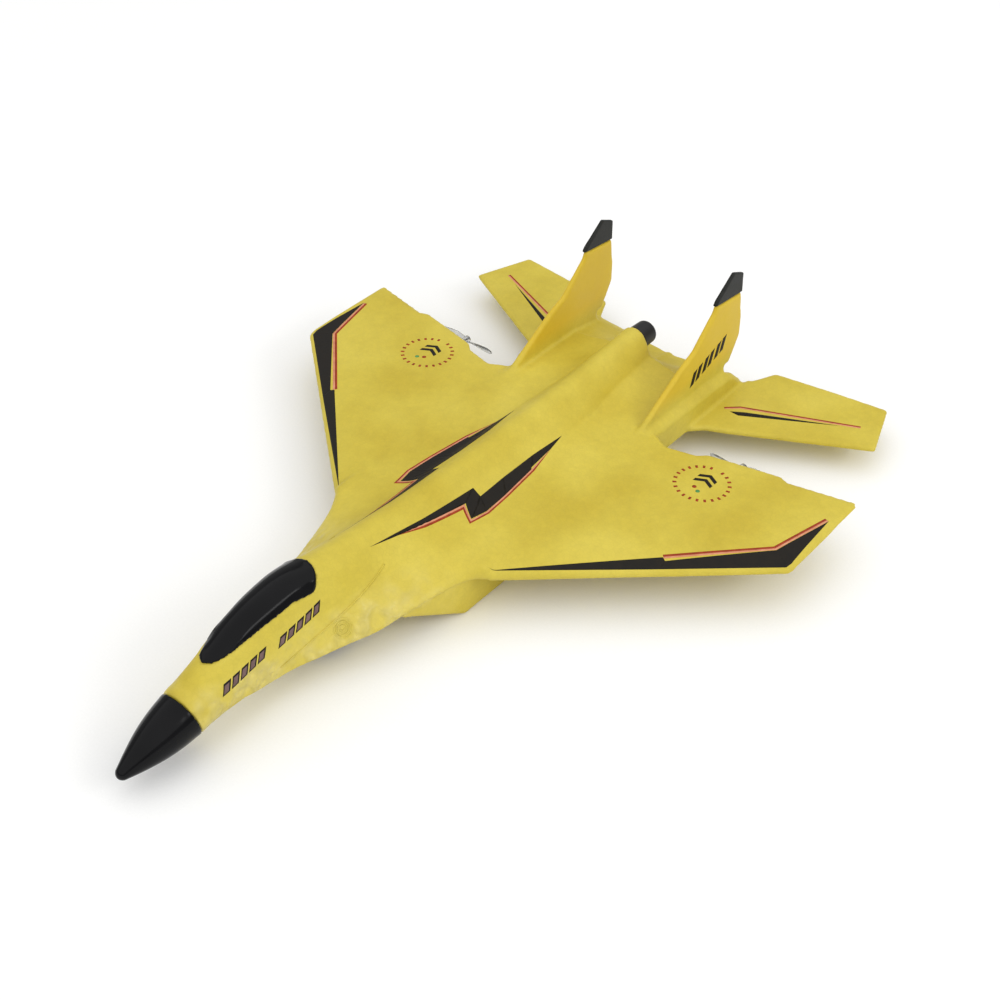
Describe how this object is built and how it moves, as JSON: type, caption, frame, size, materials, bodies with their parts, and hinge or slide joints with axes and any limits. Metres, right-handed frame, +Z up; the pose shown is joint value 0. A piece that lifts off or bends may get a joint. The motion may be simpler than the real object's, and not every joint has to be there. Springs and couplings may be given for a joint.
{
  "type": "rc foam jet glider",
  "caption": "Radio-controlled jet-shaped glider of moulded yellow foam with swept wings, two fins, tailplanes and two pusher propellers under the wings",
  "frame": {"origin": "on the surface it rests on, under the middle of its length and span", "axes": "-Y is the nose, +X the left (port) wing tip, +Z up"},
  "size_m": [0.32, 0.4399, 0.0911],
  "materials": {
    "yellow_foam": "satin moulded expanded-polypropylene foam with a fine bead skin",
    "gloss_black_plastic": "glossy injection-moulded black",
    "satin_black_plastic": "satin black moulded plastic",
    "black_tip_film": "satin near-black paint on the foam fin tip",
    "smoke_clear_plastic": "smoky clear flexible plastic",
    "nickel_motor_can": "nickel-plated drawn steel",
    "white_connector_plastic": "natural white nylon",
    "steel": "bright steel",
    "carbon_rod": "pultruded carbon fibre rod",
    "battery_foil": "crimped aluminium pouch foil",
    "circuit_board": "green solder mask with black chips",
    "red_wire": "soft red insulation",
    "black_wire": "soft black insulation"
  },
  "bodies": {
    "airframe": {"fuselage_foam": "yellow_foam", "wing_left": "yellow_foam", "wing_right": "yellow_foam", "tailplane_left": "yellow_foam", "tailplane_right": "yellow_foam", "fin_left": "yellow_foam", "fin_right": "yellow_foam", "nacelle_left": "yellow_foam", "nacelle_right": "yellow_foam", "intake_scoop_left": "yellow_foam", "intake_scoop_right": "yellow_foam", "canopy": "gloss_black_plastic", "nose_cone": "gloss_black_plastic", "tail_cap": "satin_black_plastic", "fin_tip_left": "black_tip_film", "fin_tip_right": "black_tip_film", "equipment_tub": "satin_black_plastic", "switch_panel": "satin_black_plastic", "motor_mount_left": "satin_black_plastic", "motor_mount_right": "satin_black_plastic", "motor_left": "nickel_motor_can", "motor_right": "nickel_motor_can", "motor_end_left": "white_connector_plastic", "motor_end_right": "white_connector_plastic", "wing_spar": "carbon_rod", "tail_spar": "carbon_rod", "door_hinge_pin": "steel", "panel_screw_1": "steel", "panel_screw_2": "steel", "power_switch": "steel", "charge_socket": "white_connector_plastic", "battery": "battery_foil", "battery_plug": "white_connector_plastic", "battery_lead": "red_wire", "receiver_board": "circuit_board", "antenna_wire": "black_wire", "motor_lead_red_left": "red_wire", "motor_lead_red_right": "red_wire", "motor_lead_black_left": "black_wire", "motor_lead_black_right": "black_wire"},
    "left_propeller": {"propeller_left": "smoke_clear_plastic", "motor_shaft_left": "steel"},
    "right_propeller": {"propeller_right": "smoke_clear_plastic", "motor_shaft_right": "steel"},
    "door": {"battery_door": "satin_black_plastic"},
    "slider": {"power_slider": "white_connector_plastic"}
  },
  "joints": [
    {"name": "left_propeller_spin", "type": "hinge", "parent": "airframe", "child": "left_propeller", "pos_m": [0.094, 0.122, 0.02], "axis": [0, 1, 0], "continuous": true},
    {"name": "right_propeller_spin", "type": "hinge", "parent": "airframe", "child": "right_propeller", "pos_m": [-0.094, 0.122, 0.02], "axis": [0, 1, 0], "continuous": true},
    {"name": "battery_door_hinge", "type": "hinge", "parent": "airframe", "child": "door", "pos_m": [0, -0.0996, 0.0042], "axis": [-1, 0, 0], "range_deg": [0, 100]},
    {"name": "power_slider_slide", "type": "slide", "parent": "airframe", "child": "slider", "axis": [0, 1, 0], "range_m": [0, 0.0025]}
  ]
}
